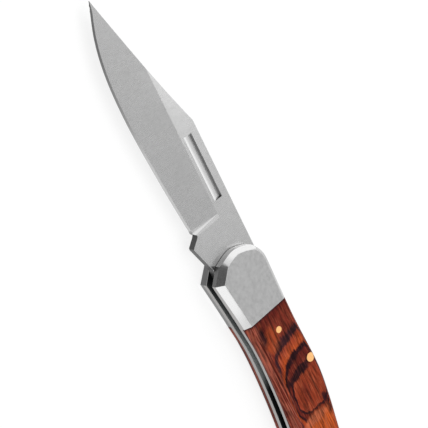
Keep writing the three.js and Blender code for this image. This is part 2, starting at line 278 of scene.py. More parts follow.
def make_floor():
    corners = [(-1, -1), (1, -1), (1, 1), (-1, 1)]
    places = [(x * floor_reach, y * floor_reach, -floor_gap) for x, y in corners]
    mesh = bpy.data.meshes.new("floor")
    mesh.from_pydata(places, [], [(0, 1, 2, 3)])
    floor = add_object("floor", mesh)
    material = bpy.data.materials.new("floor_paper")
    tree = empty_graph(material)
    path = add_node(tree, "LightPath").outputs
    seen = calc(tree, "MAXIMUM", path["Is Camera Ray"], path["Is Glossy Ray"])
    seen = calc(tree, "MAXIMUM", seen, path["Is Transmission Ray"])
    paper = add_node(tree, "BsdfDiffuse", Color=floor_colour)
    glow = add_node(tree, "Emission", Strength=calc(tree, "MULTIPLY", seen, floor_glow))
    both = add_node(tree, "AddShader", None, paper.outputs[0], glow.outputs[0])
    add_node(tree, "OutputMaterial", Surface=both.outputs[0])
    mesh.materials.append(material)


make_floor()

# %% [markdown]
# ## Brushed steel
#
# Every steel surface is satin: a belt left fine parallel lines. Noise that is squeezed across the lines
# and drawn out along them gives such lines at any zoom. It moves the roughness, the brightness and the
# bump together, as real lines do. The chamfers were buffed and are smoother, and their paler grey is a
# painted highlight. The punched and milled walls were never polished, and their dark greys are
# painted shade.

# %% Steel finishes
FINE_LINES_PER_MM = 3.2
LINE_STRETCH = 0.06
LENGTHWISE = (1, 0, 0)
CROSSWISE = (0, 1, 0)
CLOUD_SCALE = 0.12
MOTTLE_SCALE = 0.8
SCRATCH_DEPTH = 0.01 * MM


def start_material(name):
    material = bpy.data.materials.new(name)
    tree = empty_graph(material)
    shader = add_node(tree, "BsdfPrincipled")
    add_node(tree, "OutputMaterial", Surface=shader.outputs[0])
    place = add_node(tree, "TexCoord").outputs["Object"]
    in_mm = add_node(tree, "VectorMath", {"operation": "SCALE"}, Vector=place, Scale=1 / MM).outputs[0]
    return material, tree, shader, in_mm


def dress(tree, shader, colour, roughness, relief, strength, metal=1.0, depth=SCRATCH_DEPTH):
    bump = add_node(tree, "Bump", Height=relief, Strength=strength, Distance=depth)
    plug_named(tree, shader, Base_Color=colour, Roughness=roughness, Metallic=metal, Normal=bump.outputs[0])


def brushed_metal(name, colour, roughness, along=LENGTHWISE, streak=0.06, bump=0.25, cloudy=0.0):
    """The colour is a grey or three channels. Streak and cloudy vary it, in lines and in clouds."""
    material, tree, shader, place = start_material(name)
    channels = colour if isinstance(colour, tuple) else (colour, colour, colour)
    dark = tuple(channel * (1 - streak) for channel in channels)
    pale = tuple(min(1, channel * (1 + streak)) for channel in channels)
    squeeze = tuple(FINE_LINES_PER_MM * (LINE_STRETCH if part else 1) for part in along)
    lines = noise(tree, place, squeeze, 6.0, 0.7)
    brushed = ramp(tree, lines, [(0.3, dark), (0.7, pale)])
    mottle = ramp(tree, noise(tree, place, MOTTLE_SCALE, 4.0), [(0.35, 1 - cloudy), (0.62, 1.0)])
    rough = calc(tree, "MULTIPLY_ADD", lines, 0.08, roughness - 0.07)
    rough = calc(tree, "MULTIPLY_ADD", noise(tree, place, CLOUD_SCALE), 0.06, rough)
    dress(tree, shader, mix_colours(tree, 1.0, brushed, mottle, "MULTIPLY"), rough, lines, bump)
    return material


blade_steel = brushed_metal("blade_satin_steel", 0.63, 0.27, CROSSWISE, 0.015, 0.009, cloudy=0.05)
# Buffed chamfers: smoother, and painted paler as a highlight
buffed_highlight_steel = brushed_metal("buffed_highlight_steel", 0.88, 0.18, streak=0.02, bump=0.02)
# A painted highlight: a paler strip of the blade's faces just behind the plunge line
plunge_highlight_steel = brushed_metal("plunge_highlight_steel", 0.76, 0.24, CROSSWISE, 0.02, 0.015)
# Milled and punched walls: unpolished, and their dark grey is painted shade
milled_shade_steel = brushed_metal("milled_shade_steel", 0.16, 0.5)
# Painted shade on the wall of the nail nick and on the far bolster's belly wall
dull_shade_steel = brushed_metal("dull_shade_steel", 0.25, 0.4)
# Nearly black painted shade on the steep walls of the choil
choil_shade_steel = brushed_metal("dark_choil_shade_steel", 0.08, 0.5)
bolster_steel = brushed_metal("bolster_satin_steel", 0.66, 0.24, streak=0.04, bump=0.05, cloudy=0.12)
liner_metal = brushed_metal("liner_nickel_silver", (0.39, 0.382, 0.375), 0.3, streak=0.05, bump=0.1)
spring_steel = brushed_metal("spring_steel", (0.5, 0.51, 0.53), 0.32)

# %% [markdown]
# ## Steel that fades
#
# The narrow bevel of the cutting edge is painted with a reflection: dark at the tip and paler towards the
# heel. The nail nick has a painted highlight where its hollow begins, the front walls are painted lighter
# towards the back, and the rounded back of the bolsters is painted darker at its edge, as shade. In all
# four the grey runs along one axis.

# %% Steel that fades along one axis
SCRATCH_SCALE = (3.0, 0.4, 0.4)


def fading_steel(name, axis, reach, greys, wander=0.3, roughness=0.25):
    """Reach is where the fading starts and ends, and wander how far scratches blur it, in millimetres."""
    material, tree, shader, place = start_material(name)
    scratches = noise(tree, place, SCRATCH_SCALE)
    blur = calc(tree, "SUBTRACT", scratches, 0.5)
    worn = calc(tree, "MULTIPLY_ADD", blur, wander, one_axis(tree, place, axis))
    colour = ramp(tree, share_between(tree, worn, *reach, how="LINEAR"), greys)
    dress(tree, shader, colour, roughness, scratches, 0.1)
    return material


# A painted reflection on the edge bevel: dark at the tip, paler towards the heel
edge_reflection_greys = [(0.0, 0.24), (0.6, 0.34), (1.0, 0.58)]
# A painted highlight across the nick's hollow: palest where it begins, greyer towards its wall
nick_highlight_greys = [(0.0, 0.95), (0.35, 0.80), (0.7, 0.62)]
# Painted light on the front walls: paler towards the back
front_wall_light_greys = [(0.0, 0.66), (1.0, 0.82)]
# Painted shade on the rounded back of the bolsters: darker towards its outer edge
back_edge_shade_greys = [(0.0, 0.62), (0.45, 0.56), (0.75, 0.34), (1.0, 0.22)]
honed_reflection_steel = fading_steel("honed_reflection_steel", "X", (-76, -46), edge_reflection_greys, 6.0, 0.35)
nick_highlight_steel = fading_steel("nick_highlight_steel", "Y", (4.5, 6.0), nick_highlight_greys)
front_wall_light_steel = fading_steel("front_wall_painted_light_steel", "Y", (-4.0, 7.0), front_wall_light_greys, roughness=0.22)
back_edge_shade_steel = fading_steel("back_edge_shade_steel", "Y", (8.4, 9.0), back_edge_shade_greys, 0.1, 0.24)

# %% [markdown]
# ## Inside of the liners
#
# Nobody polishes the inside of a liner. Its colour is painted light and shade: nearly black at the very
# mouth, grey further in, where light reaches the inner face, and black again towards the back of the slot.

# %% Painted light and shade inside the slot
# Grey where light reaches the inner face, black as painted shade from 25 to 29 mm back and towards the
# mouth
slot_lit_grey = (0.43, 0.45, 0.445)
slot_shade_black = (0.04, 0.043, 0.045)
back_shade_x = (25, 29)
mouth_x = (-9.5, 18.0)
SMUDGE_SCALE = (0.3, 2.0, 2.0)


def dull_shaded_inside(name):
    material, tree, shader, place = start_material(name)
    smudges = noise(tree, place, SMUDGE_SCALE, 4.0, 0.6)
    blur = calc(tree, "MULTIPLY_ADD", smudges, 4.0, -2.0)
    ragged = calc(tree, "ADD", blur, one_axis(tree, place, "X"))
    back_shade = share_between(tree, ragged, *back_shade_x, how="LINEAR")
    mouth = share_between(tree, ragged, *mouth_x, 1.0, 0.0, how="LINEAR")
    colour = ramp(tree, calc(tree, "MAXIMUM", back_shade, mouth), [(0.0, slot_lit_grey), (1.0, slot_shade_black)])
    rough = calc(tree, "MULTIPLY_ADD", smudges, 0.3, 0.35)
    dress(tree, shader, colour, rough, smudges, 0.2)
    return material


dull_shaded_liner = dull_shaded_inside("liner_inside_dull_and_shaded")

# %% [markdown]
# ## Brass
#
# The pins are brass rod, sanded flush with the wood. The short scratches run in every direction, so they
# are plain noise and not lines. The shader is only partly metal, because such a rough cut also scatters
# light.

# %% Brass finish
brass_dark = (0.97, 0.48, 0.175)
brass_pale = (0.97, 0.57, 0.225)
BRASS_SHINE = 0.4


def sanded_brass(name):
    material, tree, shader, place = start_material(name)
    scratches = noise(tree, place, 5.0, 8.0, 0.75)
    colour = ramp(tree, scratches, [(0.3, brass_dark), (0.7, brass_pale)])
    rough = calc(tree, "MULTIPLY_ADD", scratches, 0.2, 0.3)
    dress(tree, shader, colour, rough, scratches, 0.2, BRASS_SHINE)
    return material


pin_brass = sanded_brass("pin_brass")

# %% [markdown]
# ## Laminated wood
#
# The scales are pressed from thin veneers, dyed orange, red, brown and nearly black, and the layers wave
# up and down. A flat face shows the waves as rings, like height lines on a map, and the rounded edge cuts
# them into narrow stripes. So the finish works out how deep in the stack each point lies and looks up the
# veneer there. A hill's height is the logarithm of the distance, which widens the rings outwards, and the
# grain tears them sideways in long thin teeth.

# %% Veneers from the top of the stack down
VENEER_MM = 0.36
HILL_STEEPNESS = 2.2
THIN_RING_STEEPNESS = 3.96
HILL_BLEND = 0.4
near_black = (0.022, 0.004, 0.007)
plum = (0.036, 0.010, 0.014)
dark_red = (0.12, 0.014, 0.009)
red_brown = (0.19, 0.027, 0.015)
warm_red = (0.25, 0.036, 0.013)
orange_brown = (0.29, 0.043, 0.018)
orange = (0.44, 0.068, 0.014)
bright_orange = (0.66, 0.12, 0.02)
salmon = (0.50, 0.13, 0.06)
belly_sheen_pink = (0.44, 0.12, 0.08)
veneers = [
    (0.0, warm_red), (0.7, orange_brown), (0.84, near_black), (1.12, near_black), (1.26, dark_red),
    (1.7, dark_red), (1.84, near_black), (2.12, near_black), (2.26, orange), (2.74, orange_brown),
    (2.88, plum), (3.1, plum), (3.24, red_brown), (3.75, red_brown), (3.9, dark_red), (4.15, dark_red),
    (4.35, orange_brown), (4.7, red_brown), (4.82, near_black), (5.08, near_black), (5.2, red_brown),
    (6.0, orange_brown),
]
STACK = veneers[-1][0]


# %% Map of the hills
RING_SQUARENESS = 2.6
wander_mm = (3.0, 2.2, 0.0)
wander_middle = (2.4, 1.1)
tooth_mm = 1.8
lean_until_x = (27, 36)
lean = 0.26
lean_about_y = 3
thin_rings_x = (34, 39)
handle_droop = 0.2
droop_from_x = 34
roll_start_y = -0.5
ROLL = 0.086


def hill_distance(tree, x, y, hill):
    centre_x, centre_y, radius_x, radius_y = hill
    powers = []
    for value, centre, radius in ((x, centre_x, radius_x), (y, centre_y, radius_y)):
        away = calc(tree, "ABSOLUTE", calc(tree, "DIVIDE", calc(tree, "SUBTRACT", value, centre), radius))
        powers.append(calc(tree, "POWER", away, RING_SQUARENESS))
    return calc(tree, "POWER", calc(tree, "ADD", *powers), 1 / RING_SQUARENESS)


def wood_grain(tree, place, along, across, detail):
    return noise(tree, place, (along, across, across), detail, 0.6)


def veneer_place(tree, place):
    """Where a point lies on the map of the hills, after waves, torn grain and the slant of the rings."""
    wander = add_node(tree, "TexNoise", Vector=place, Scale=0.3, Detail=3.0).outputs["Color"]
    shift = add_node(tree, "VectorMath", {"operation": "MULTIPLY_ADD"}, wander, wander_mm, place)
    moved = add_node(tree, "SeparateXYZ", Vector=shift.outputs[0]).outputs
    teeth = wood_grain(tree, place, 0.3, 2.2, 3.0)
    x = calc(tree, "MULTIPLY_ADD", teeth, tooth_mm, calc(tree, "SUBTRACT", moved["X"], wander_middle[0]))
    y = calc(tree, "SUBTRACT", moved["Y"], wander_middle[1])
    slant = share_between(tree, x, *lean_until_x, lean, 0.0)
    x = calc(tree, "MULTIPLY_ADD", slant, calc(tree, "SUBTRACT", y, lean_about_y), x)
    droop = calc(tree, "MAXIMUM", calc(tree, "SUBTRACT", x, droop_from_x), 0.0)
    return x, calc(tree, "MULTIPLY_ADD", droop, handle_droop, y), moved["Z"]


def veneer_number(tree, x, y, z, hills, face_mm):
    distance = hill_distance(tree, x, y, hills[0])
    for hill in hills[1:]:
        distance = calc(tree, "SMOOTH_MIN", distance, hill_distance(tree, x, y, hill), HILL_BLEND)
    steepness = share_between(tree, x, *thin_rings_x, HILL_STEEPNESS, THIN_RING_STEEPNESS)
    height = calc(tree, "MULTIPLY_ADD", calc(tree, "LOGARITHM", distance, math.e), steepness, 1.0)
    below = calc(tree, "MAXIMUM", calc(tree, "SUBTRACT", roll_start_y, y), 0.0)
    roll = calc(tree, "MULTIPLY", calc(tree, "MULTIPLY", below, below), ROLL)
    depth = calc(tree, "ABSOLUTE", calc(tree, "SUBTRACT", z, face_mm))
    layers = calc(tree, "ADD", calc(tree, "MULTIPLY_ADD", depth, 1 / VENEER_MM, height), roll)
    return calc(tree, "FRACT", calc(tree, "DIVIDE", calc(tree, "MAXIMUM", layers, 0.02), STACK))


# %% Wood finish
# Along the belly the veneers show as stripes of grain, and their pink is a painted sheen
belly_sheen_y = (-4.2, -2.8)
belly_stripes_and_sheen = [(0.4, dark_red), (0.46, red_brown), (0.54, belly_sheen_pink)]
fibre_darkness = [(0.36, 0.25), (0.46, 0.7), (0.56, 1.0)]
patch_darkness = [(0.36, 0.45), (0.52, 1.0)]
pale_threads = [(0.52, 0.0), (0.64, 1.0)]
PALE_SHARE = 0.42
joint_shade_mm = 0.9
FIBRE_DEPTH = 0.04 * MM
WAX_SHINE = 0.06


def pale_on_red(tree, place, colour):
    """Pale threads of grain, which the nearly black veneers don't show."""
    threads = ramp(tree, wood_grain(tree, place, 0.3, 3.4, 4.0), pale_threads)
    red = add_node(tree, "SeparateColor", Color=colour).outputs["Red"]
    shown = calc(tree, "MINIMUM", calc(tree, "MULTIPLY_ADD", red, 3.5, 0.12), 1.0)
    share = calc(tree, "MULTIPLY", calc(tree, "MULTIPLY", threads, shown), PALE_SHARE)
    return mix_colours(tree, share, colour, (*salmon, 1))


def laminated_wood(name, hills, spots, face_mm):
    material, tree, shader, place = start_material(name)
    x, y, z = veneer_place(tree, place)
    stack = veneer_number(tree, x, y, z, hills, face_mm)
    colour = ramp(tree, stack, [(position / STACK, veneer) for position, veneer in veneers])
    for *spot, strength, tint in spots:
        spread = share_between(tree, hill_distance(tree, x, y, spot), 0.5, 1.1, strength, 0.0)
        colour = mix_colours(tree, spread, colour, (*tint, 1))
    # Stripes of grain towards the belly, lightened with pink as a painted sheen
    stripes = ramp(tree, wood_grain(tree, place, 0.04, 2.0, 2.0), belly_stripes_and_sheen)
    colour = mix_colours(tree, share_between(tree, y, *belly_sheen_y, 0.7, 0.0), colour, stripes)
    fibres = wood_grain(tree, place, 0.16, 2.4, 6.0)
    patches = wood_grain(tree, place, 0.13, 0.9, 3.0)
    colour = mix_colours(tree, 0.9, colour, ramp(tree, fibres, fibre_darkness), "MULTIPLY")
    colour = mix_colours(tree, 0.9, colour, ramp(tree, patches, patch_darkness), "MULTIPLY")
    colour = pale_on_red(tree, place, colour)
    along = one_axis(tree, place, "X")
    beside_joint = share_between(tree, along, scale_front, scale_front + joint_shade_mm, 0.7, 0.0)
    colour = mix_colours(tree, beside_joint, colour, (*near_black, 1))
    rough = calc(tree, "MULTIPLY_ADD", fibres, -0.25, 0.52)
    dress(tree, shader, colour, rough, fibres, 0.35, 0.0, FIBRE_DEPTH)
    plug_named(tree, shader, Specular_IOR_Level=WAX_SHINE)
    return material


# Hills are a middle and two radii; spots are the same with a strength and a colour
mark_side_hills = [(33.0, 3.5, 6.5, 6.5), (66.0, 1.0, 8.0, 5.5), (96.0, 4.0, 6.0, 5.0)]
pile_side_hills = [(20.0, 1.5, 6.0, 6.0), (52.0, 3.0, 8.0, 6.0), (84.0, 0.0, 7.0, 6.0)]
mark_side_spots = [
    (47.0, 3.0, 7.5, 7.0, 0.8, bright_orange), (13.5, -1.0, 4.0, 3.0, 0.25, bright_orange),
    (79.0, 4.0, 9.0, 4.0, 0.7, bright_orange), (42.0, 2.2, 2.0, 5.0, 0.8, salmon),
    (38.8, 7.1, 1.6, 0.8, 0.9, near_black), (42.2, 7.6, 1.5, 0.7, 0.8, near_black),
    (27.4, 2.2, 1.6, 6.5, 1.0, near_black), (10.2, -3.0, 3.4, 1.1, 1.0, near_black),
    (34.0, 1.8, 3.5, 1.8, 0.5, dark_red),
]
pile_side_spots = [(38.0, 2.0, 8.0, 5.0, 0.7, bright_orange)]
woods = {
    "mark_side": laminated_wood("laminated_wood_mark_side", mark_side_hills, mark_side_spots, thickness),
    "pile_side": laminated_wood("laminated_wood_pile_side", pile_side_hills, pile_side_spots, 0.0),
}
print("finishes:", bpy.data.materials.keys())

# %% [markdown]
# ## Curves and outlines
#
# The bolsters, scales and liners share one outline, because they were ground together after assembly. It
# is a smooth curve through a few points, kept as a plain list of points, which is easy to offset, cut and
# extrude.


# %% Smooth lines
def smooth_line(points, step=0.5):
    line = []
    last = len(points) - 1
    for i in range(last):
        start, end = Vector(points[i]), Vector(points[i + 1])
        leaving = (end - Vector(points[max(i - 1, 0)])) / 2
        arriving = (Vector(points[min(i + 2, last)]) - start) / 2
        count = max(2, math.ceil((end - start).length / step))
        for k in range(count):
            t = k / count
            line.append(
                start * (2 * t**3 - 3 * t**2 + 1) + leaving * (t**3 - 2 * t**2 + t)
                + end * (3 * t**2 - 2 * t**3) + arriving * (t**3 - t**2)
            )
    return line + [Vector(points[-1])]


def bent_line(start, corner, end, count):
    steps = [k / count for k in range(count + 1)]
    return [
        Vector(start) * (1 - t) ** 2 + Vector(corner) * 2 * t * (1 - t) + Vector(end) * t**2 for t in steps
    ]


def rounded_outline(corners, steps=6):
    """Corners are x, y and, where the corner is round, a radius."""
    outline = []
    for i, corner in enumerate(corners):
        here = Vector(corner[:2])
        to_before = (Vector(corners[i - 1][:2]) - here).normalized()
        to_after = (Vector(corners[(i + 1) % len(corners)][:2]) - here).normalized()
        radius = corner[2] if len(corner) > 2 else 0
        if not radius:
            outline.append(here)
            continue
        cut = radius / math.tan(to_before.angle(to_after) / 2)
        outline += bent_line(here + to_before * cut, here, here + to_after * cut, steps)
    return outline


# %% Outline of the handle
back_height = 9.25
back_straight_x = -4
front_top = (-8.6, back_height)
front_curve = [(-11.0, 7.0), (-12.7, 3.0), (-12.85, 0), (-11.6, -4.2)]
chin = (-7.7, -7.85)
belly = [(6.5, -6.25), (19, -5.5), (38.5, -6.65), (60, -9.7), (78, -13.2)]
butt = [(86, -14.7), (91.8, -13.1), (94.5, -8.3), (93.2, -3.0), (88.5, 0.2)]
back = [(80, 1.7), (65, 4.1), (50, 6.55), (41, 8.17), (33, 9.25), (27, 9.45), (18, 9.18), (9.5, 8.95)]
top_corner_cut = 3
# A length beside the chin that stays free of points, so that its sides are straight
chin_side_clear = 1.3


def handle_outline():
    front = smooth_line([front_top, *front_curve], 0.4)
    front = [point for point in front if (point - front[-1]).length > chin_side_clear] + front[-1:]
    reached = next(i for i, point in enumerate(front) if (point - front[0]).length > top_corner_cut)
    on_back = front[0] + Vector((top_corner_cut, 0))
    corner = bent_line(on_back, front[0], front[reached], 5)
    around = smooth_line([chin, *belly, *butt, *back, (back_straight_x, back_height)], 0.8)
    around = around[:1] + [point for point in around if (point - around[0]).length > chin_side_clear]
    return corner + front[reached + 1:] + around


def height_on(line, x):
    """The height of a line at x, for a line that runs towards the tip."""
    for first, second in zip(line, line[1:]):
        if second.x <= x:
            share = (x - first.x) / (second.x - first.x)
            return first.y + (second.y - first.y) * share
    return line[-1].y


outline = handle_outline()
print("points in the outline:", len(outline))

# %% [markdown]
# ## From an outline to a solid
#
# A mesh is made with bmesh, in millimetres. Straight plates are an outline given two heights. Slivers, the
# thin faces that cuts at a flat angle leave, are merged away. At the end every piece goes to its place in
# metres, gets its finish, keeps sharp creases sharp, rides on its body and stands in for its CAD node.

# %% Solids, cuts and the last step
SLIVER = 0.008
STRAIGHT = math.radians(8)


def solid_from_rings(rings):
    """Rings are closed loops of points with the same count, from the bottom of the solid to its top."""
    mesh = bmesh.new()
    loops = [[mesh.verts.new(point) for point in ring] for ring in rings]
    count = len(rings[0])
    for low, high in zip(loops, loops[1:]):
        for i in range(count):
            j = (i + 1) % count
            mesh.faces.new((low[i], low[j], high[j], high[i]))
    mesh.faces.new(loops[0][::-1])
    mesh.faces.new(loops[-1])
    bmesh.ops.recalc_face_normals(mesh, faces=mesh.faces[:])
    return mesh


def plate(flat_outline, bottom, top):
    return solid_from_rings([[(x, y, z) for x, y in flat_outline] for z in (bottom, top)])


def circle(place, radius, sides=48):
    turns = [2 * math.pi * i / sides for i in range(sides)]
    return [(place[0] + radius * math.cos(turn), place[1] + radius * math.sin(turn)) for turn in turns]


def as_object(mesh, name):
    data = bpy.data.meshes.new(name)
    mesh.to_mesh(data)
    mesh.free()
    return add_object(name, data)


def cut(body, tool, operation="DIFFERENCE"):
    modifier = body.modifiers.new("cut", "BOOLEAN")
    modifier.operation = operation
    modifier.solver = "EXACT"
    modifier.object = tool
    evaluated = body.evaluated_get(bpy.context.evaluated_depsgraph_get())
    result = bpy.data.meshes.new_from_object(evaluated)
    body.modifiers.clear()
    body.data = result
    bpy.data.objects.remove(tool)


def drill(body, holes, reach=20):
    for place, radius in holes:
        cut(body, as_object(plate(circle(place, radius), -reach, reach), "drill"))


def ease(mesh, edges, width, **options):
    bmesh.ops.bevel(
        mesh, geom=edges, offset=width, offset_type="OFFSET", segments=2, profile=0.5, affect="EDGES",
        **options,
    )


def split(mesh, place, facing, **cleared):
    everything = mesh.verts[:] + mesh.edges[:] + mesh.faces[:]
    bmesh.ops.bisect_plane(mesh, geom=everything, dist=1e-4, plane_co=place, plane_no=facing, **cleared)


def merge_slivers(mesh):
    bmesh.ops.remove_doubles(mesh, verts=mesh.verts[:], dist=SLIVER)
    bmesh.ops.dissolve_degenerate(mesh, edges=mesh.edges[:], dist=SLIVER)
    between = [vert for vert in mesh.verts if len(vert.link_edges) == 2]
    spare = [vert for vert in between if vert.calc_edge_angle() < STRAIGHT]
    bmesh.ops.dissolve_verts(mesh, verts=spare)
    print("open edges:", sum(not edge.is_manifold for edge in mesh.edges))


def rework(made, change, *values):
    mesh = bmesh.new()
    mesh.from_mesh(made.data)
    change(mesh, *values)
    mesh.to_mesh(made.data)
    mesh.free()


def finish_piece(made, finish, node, body="handle", crease=24):
    rework(made, merge_slivers)
    made.data.transform(to_place)
    made.data.materials.clear()
    made.data.materials.append(finish)
    made.data.shade_smooth()
    made.data.set_sharp_from_angle(angle=math.radians(crease))
    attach(made, body)
    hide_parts(node)
    print(made.name, len(made.data.polygons), "faces")
    return made


def repaint(made, *finishes):
    """Each is a finish and the rule that picks its faces by x, y, in millimetres, and the normal."""
    for index, (finish, chosen) in enumerate(finishes, 1):
        made.data.materials.append(finish)
        for face in made.data.polygons:
            if chosen(face.center.x / MM, face.center.y / MM, face.normal):
                face.material_index = index


def mirrored(mesh):
    twin = mesh.copy()
    twin.transform(Matrix.Scale(-1, 4, (0, 0, 1)))
    bmesh.ops.reverse_faces(twin, faces=twin.faces[:])
    return twin


def both_sides(mesh):
    return ("mark_side", mesh), ("pile_side", mirrored(mesh))


# %% [markdown]
# ## The cover over a liner
#
# A bolster and a scale lie end to end on each liner and were shaped as one. So one cover is built for each
# side, from rings that step in from the outline and up to the face. The front and the belly of the bolster
# have a flat chamfer, which catches the light as a white band, the chin has a deeper one, and the wood is
# rounded: each ring takes its width and depth from the way the outline faces there. More of the far side's
# wall shows, so its chamfers are shallower.


# %% Worked edges
def rim(width, depth, bulge=0):
    return {"width": width, "depth": depth, "bulge": bulge}


front_chamfer = rim(1.15, 1.25)
butt_rounding = rim(2.4, 1.8, 1)
bolster_back = rim(1.0, 1.0, 1)
wood_back = rim(1.5, 1.4, 1)
wood_back_from = 18
mark_side_rims = {
    "chin": rim(1.5, 1.95), "bolster": rim(1.65, 1.85), "joint": rim(1.65, 1.35),
    "wood": rim(3.1, 1.3, 0.8), "wood_from": 34,
}
pile_side_rims = {
    "chin": rim(0.75, 0.75), "bolster": rim(0.75, 0.75), "joint": rim(0.75, 0.7),
    "wood": rim(1.2, 0.8, 1), "wood_from": 14,
}
chin_end = Vector(front_curve[-1])
chin_facing = Vector((chin[1] - chin_end.y, chin_end.x - chin[0])).normalized()
# How squarely the outline faces a side before that side's rim begins, and where it is complete
faces_belly = (0.75, 0.95)
faces_out_of_chin = (0.93, 0.97)
faces_back = (0.5, 0.95)


def smooth_share(value, low, high):
    share = min(max((value - low) / (high - low), 0), 1)
    return share * share * (3 - 2 * share)


def blended(first, second, share):
    return {key: first[key] + (second[key] - first[key]) * share for key in first}


def worked_rim(x, facing, rims):
    if x < joint_x:
        along_belly = blended(rims["bolster"], rims["joint"], smooth_share(x, chin[0], joint_x))
    else:
        along_belly = blended(rims["joint"], rims["wood"], smooth_share(x, joint_x, rims["wood_from"]))
    end_rim = front_chamfer if x < joint_x else butt_rounding
    towards_belly = blended(end_rim, along_belly, smooth_share(-facing.y, *faces_belly))
    chin_share = smooth_share(facing.dot(chin_facing), *faces_out_of_chin)
    around_chin = blended(towards_belly, rims["chin"], chin_share)
    back = blended(bolster_back, wood_back, smooth_share(x, joint_x, wood_back_from))
    return blended(around_chin, back, smooth_share(facing.y, *faces_back))


# Steps from the wall, 0, 0, to the face, 1, 1
ROUND_STEPS = 9
quarter_round = [
    (1 - math.cos(k / ROUND_STEPS * math.pi / 2), math.sin(k / ROUND_STEPS * math.pi / 2))
    for k in range(ROUND_STEPS + 1)
]
shoulder_start = 0.92
shoulder_end = 1.08
soft_shoulder = bent_line((shoulder_start, shoulder_start), (1, 1), (shoulder_end, 1), ROUND_STEPS - 2)
flat_chamfer = [(0, 0), (shoulder_start / 2, shoulder_start / 2), *soft_shoulder]
face_border = 0.06
SHARP_TURN = 0.3


def rim_steps(bulge):
    steps = []
    for (flat_in, flat_up), (round_in, round_up) in zip(flat_chamfer, quarter_round):
        steps.append((flat_in + (round_in - flat_in) * bulge, flat_up + (round_up - flat_up) * bulge))
    return steps + [(steps[-1][0] + face_border, 1)]


def sides_of(line, side_rims):
    """The way inwards and the rim of every side of the outline."""
    sides = []
    for point, after in zip(line, line[1:] + line[:1]):
        along = (after - point).normalized()
        inwards = Vector((-along.y, along.x))
        sides.append((inwards, worked_rim((point.x + after.x) / 2, -inwards, side_rims)))
    return sides


def inward_steps(line, side_rims):
    """How a corner of the outline moves when the rims on its two sides have a width of their own."""
    sides = sides_of(line, side_rims)
    moves = []
    for (before, rim_before), (after, rim_after) in zip(sides[-1:] + sides[:-1], sides):
        wide_before, wide_after = rim_before["width"], rim_after["width"]
        turn = before.x * after.y - before.y * after.x
        if abs(turn) < SHARP_TURN:
            middle_way = (before + after).normalized()
            move = middle_way * (wide_before + wide_after) / 2 / middle_way.dot(before)
        else:
            move = Vector((
                wide_before * after.y - wide_after * before.y,
                wide_after * before.x - wide_before * after.x,
            )) / turn
        moves.append((move, blended(rim_before, rim_after, 0.5)))
    return moves


def cover_blank(side_rims):
    moves = inward_steps(outline, side_rims)
    profiles = [rim_steps(shape["bulge"]) for move, shape in moves]
    rings = [[(*point, liner_outer) for point in outline]]
    for k in range(len(profiles[0])):
        ring = []
        for point, (move, shape), profile in zip(outline, moves, profiles):
            inset, rise = profile[k]
            x, y = point + move * inset
            ring.append((x, y, cover_outer - shape["depth"] * (1 - rise)))
        rings.append(ring)
    return solid_from_rings(rings)


# The pile side is built as seen from its own face, and mirrored when it is cut
covers = {"mark_side": cover_blank(mark_side_rims), "pile_side": cover_blank(pile_side_rims)}
cover_surface = BVHTree.FromBMesh(covers["mark_side"])
print("cover blanks:", [len(cover.faces) for cover in covers.values()], "faces")

# %% [markdown]
# ## Bolsters
#
# Each bolster is the front of the cover, cut straight across at the joint. The edge of the cut is eased by
# a hair, which draws the thin dark line between steel and wood. The chamfers are buffed, and painted paler
# as a highlight. The chin walls below the pivot are left as milled and painted dark as shade, the belly
# walls and the edge of the rounded back are painted darker as shade, and the front walls painted lighter.

# %% Cut the cover across
joint_easing = 0.06


def cut_side(side, x, keep_front):
    mesh = covers[side].copy()
    split(mesh, (x, 0, 0), (1, 0, 0), clear_outer=keep_front, clear_inner=not keep_front)
    bmesh.ops.holes_fill(mesh, edges=[edge for edge in mesh.edges if edge.is_boundary])
    bmesh.ops.recalc_face_normals(mesh, faces=mesh.faces[:])
    ease(mesh, [
        edge for edge in mesh.edges
        if all(abs(vert.co.x - x) < 1e-3 and vert.co.z > liner_outer + 0.01 for vert in edge.verts)
    ], joint_easing)
    return mesh if side == "mark_side" else mirrored(mesh)


# %% Bolsters
UPRIGHT = 0.1


def faces_chin(x, y, normal):
    sideways = Vector((normal.x, normal.y))
    return y < chin_end.y - 0.3 and sideways.length > 0.1 and sideways.normalized().dot(chin_facing) > 0.95


# Chin walls below the pivot, painted dark as shade
def is_chin_wall(x, y, normal):
    return abs(normal.z) < UPRIGHT and faces_chin(x, y, normal)


# The buffed chamfers, which are painted paler as a highlight
def is_buffed_highlight(x, y, normal):
    outwards = normal.x < -0.25 or normal.y < -0.3
    return x < joint_x - 0.2 and 0.15 < abs(normal.z) < 0.98 and outwards and not faces_chin(x, y, normal)


# The rounded back of the bolsters, painted darker at its edge as shade
def is_back_rounding(x, y, normal):
    return x < joint_x - 0.1 and 0.02 < abs(normal.z) < 0.9995 and normal.y > max(0.05, -normal.x)


# Front walls, painted lighter against their shade
def is_front_wall(x, y, normal):
    return abs(normal.z) < UPRIGHT and normal.x < -0.25 and x < joint_x and not faces_chin(x, y, normal)


def is_belly_wall(x, y, normal):
    return abs(normal.z) < UPRIGHT and normal.y < -0.9


def make_bolsters():
    for side in covers:
        name = "bolster_" + side
        made = as_object(cut_side(side, joint_x, keep_front=True), "satin_" + name)
        finish_piece(made, bolster_steel, name, crease=20)
        # Belly walls: the near side takes the liner's metal, the far side a dull steel as painted shade
        belly_wall_metal_and_shade = liner_metal if side == "mark_side" else dull_shade_steel
        repaint(
            made, (belly_wall_metal_and_shade, is_belly_wall), (buffed_highlight_steel, is_buffed_highlight), (front_wall_light_steel, is_front_wall),
            (back_edge_shade_steel, is_back_rounding), (milled_shade_steel, is_chin_wall),
        )


make_bolsters()

